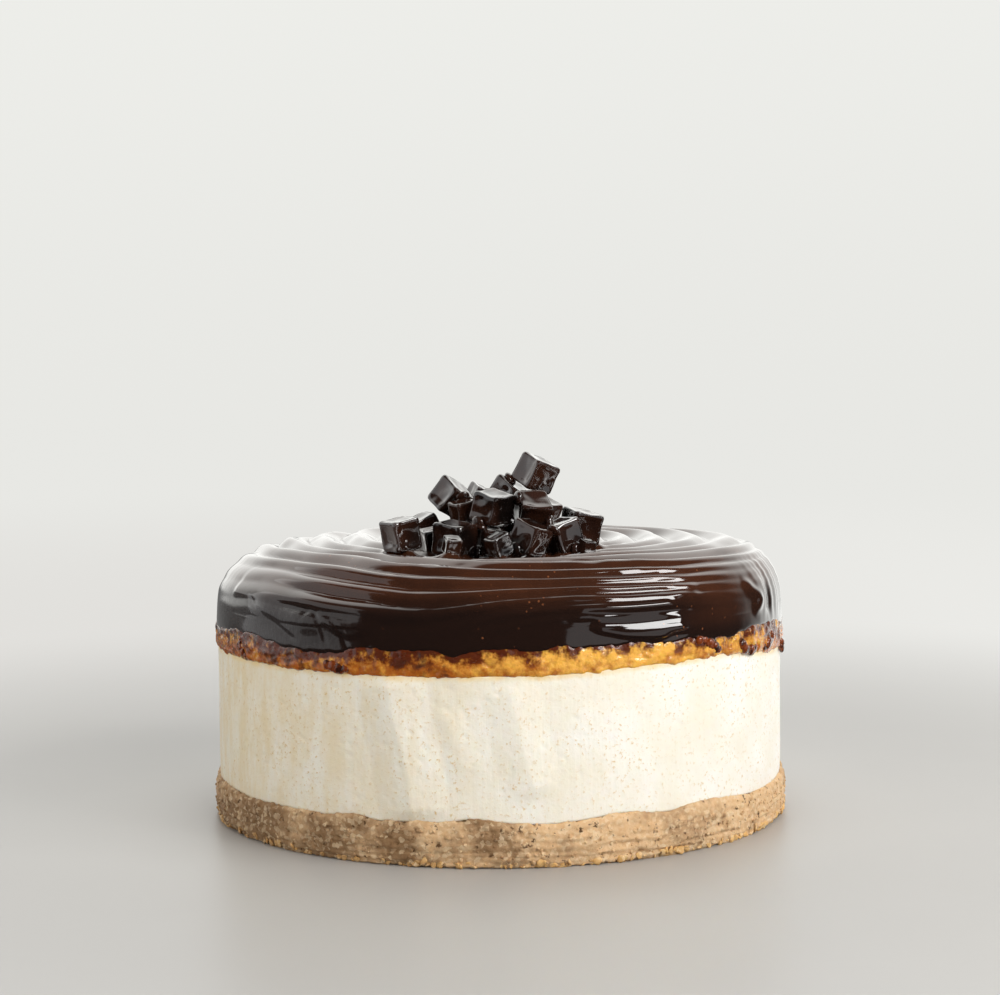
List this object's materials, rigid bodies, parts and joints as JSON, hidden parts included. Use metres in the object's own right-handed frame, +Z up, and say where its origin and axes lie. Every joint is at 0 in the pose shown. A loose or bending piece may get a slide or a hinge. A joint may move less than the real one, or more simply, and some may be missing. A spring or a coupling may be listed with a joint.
{
  "type": "chocolate cheesecake",
  "caption": "Small round cheesecake: crumb base, tall cream layer, thin caramel, combed dark ganache sagging over its edge, and a loose heap of glossy chocolate cubes on top.",
  "frame": {"origin": "middle of the base's underside, on the surface that the cake stands on", "axes": "+Z up, the front of the heap of cubes towards -Y, +X to the right seen from the front; metres"},
  "size_m": [0.1518, 0.1522, 0.0952],
  "materials": {
    "crumb": "baked biscuit crumb, rough and pitted, golden brown",
    "cream": "set cream cheese, smooth with knife marks and fine pores, ivory",
    "caramel": "soft caramel, wet and slightly grainy, amber",
    "ganache": "dark chocolate ganache, combed and glossy",
    "chocolate": "dark chocolate, polished and wet looking"
  },
  "bodies": {
    "root": {"biscuit_base": "crumb", "cream_filling": "cream", "caramel_layer": "caramel", "chocolate_ganache": "ganache", "chocolate_cube_01": "chocolate", "chocolate_cube_02": "chocolate", "chocolate_cube_03": "chocolate", "chocolate_cube_04": "chocolate", "chocolate_cube_05": "chocolate", "chocolate_cube_06": "chocolate", "chocolate_cube_07": "chocolate", "chocolate_cube_08": "chocolate", "chocolate_cube_09": "chocolate", "chocolate_cube_10": "chocolate", "chocolate_cube_11": "chocolate", "chocolate_cube_12": "chocolate", "chocolate_cube_13": "chocolate", "chocolate_cube_14": "chocolate", "chocolate_cube_15": "chocolate", "chocolate_cube_16": "chocolate", "chocolate_cube_17": "chocolate", "chocolate_cube_18": "chocolate", "chocolate_cube_19": "chocolate", "chocolate_cube_20": "chocolate", "chocolate_cube_21": "chocolate", "chocolate_cube_22": "chocolate", "chocolate_cube_23": "chocolate", "chocolate_cube_24": "chocolate"}
  },
  "joints": []
}
